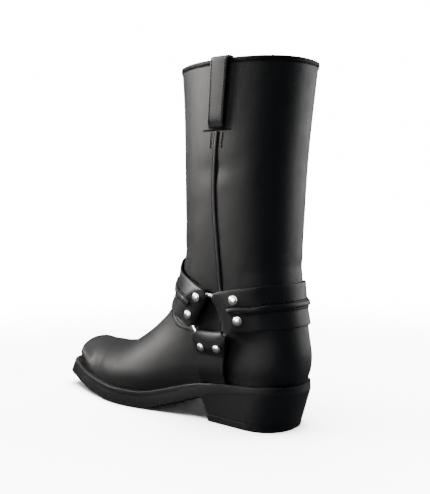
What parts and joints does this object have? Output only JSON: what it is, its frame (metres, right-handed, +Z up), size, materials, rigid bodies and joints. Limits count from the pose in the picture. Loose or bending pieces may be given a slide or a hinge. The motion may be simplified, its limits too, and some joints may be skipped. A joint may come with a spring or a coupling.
{
  "type": "western harness boot",
  "caption": "Left western harness boot: square toe, stacked heel, tall hollow leather shaft with pull straps, and riveted ankle straps joined by metal rings.",
  "frame": {"origin": "middle of the heel's bottom face, on the floor", "axes": "+X to the toe, +Y to the outer side of the left foot, +Z up"},
  "size_m": [0.315, 0.1144, 0.342],
  "materials": {
    "upper_leather": "oiled black, soft sheen",
    "strap_leather": "oiled black, soft sheen",
    "welt_leather": "black edge, matte",
    "insole_board": "natural, matte",
    "sole_rubber": "matte black",
    "nickel": "polished nickel"
  },
  "bodies": {
    "root": {"collar_binding": "upper_leather", "heel_block": "sole_rubber", "heel_lift": "sole_rubber", "insole": "insole_board", "keeper_front": "strap_leather", "keeper_rear": "strap_leather", "midsole": "welt_leather", "outsole": "sole_rubber", "pull_strap_inner": "strap_leather", "pull_strap_outer": "strap_leather", "ring_inner": "nickel", "ring_outer": "nickel", "rivet_front_inner_1": "nickel", "rivet_front_inner_2": "nickel", "rivet_front_outer_1": "nickel", "rivet_front_outer_2": "nickel", "rivet_rear_inner_1": "nickel", "rivet_rear_inner_2": "nickel", "rivet_rear_outer_1": "nickel", "rivet_rear_outer_2": "nickel", "rivet_lower_inner_1": "nickel", "rivet_lower_inner_2": "nickel", "rivet_lower_outer_1": "nickel", "rivet_lower_outer_2": "nickel", "side_piping_inner": "upper_leather", "side_piping_outer": "upper_leather", "strap_front": "strap_leather", "strap_rear": "strap_leather", "strap_lower_inner": "strap_leather", "strap_lower_outer": "strap_leather", "upper": "upper_leather"}
  },
  "joints": []
}
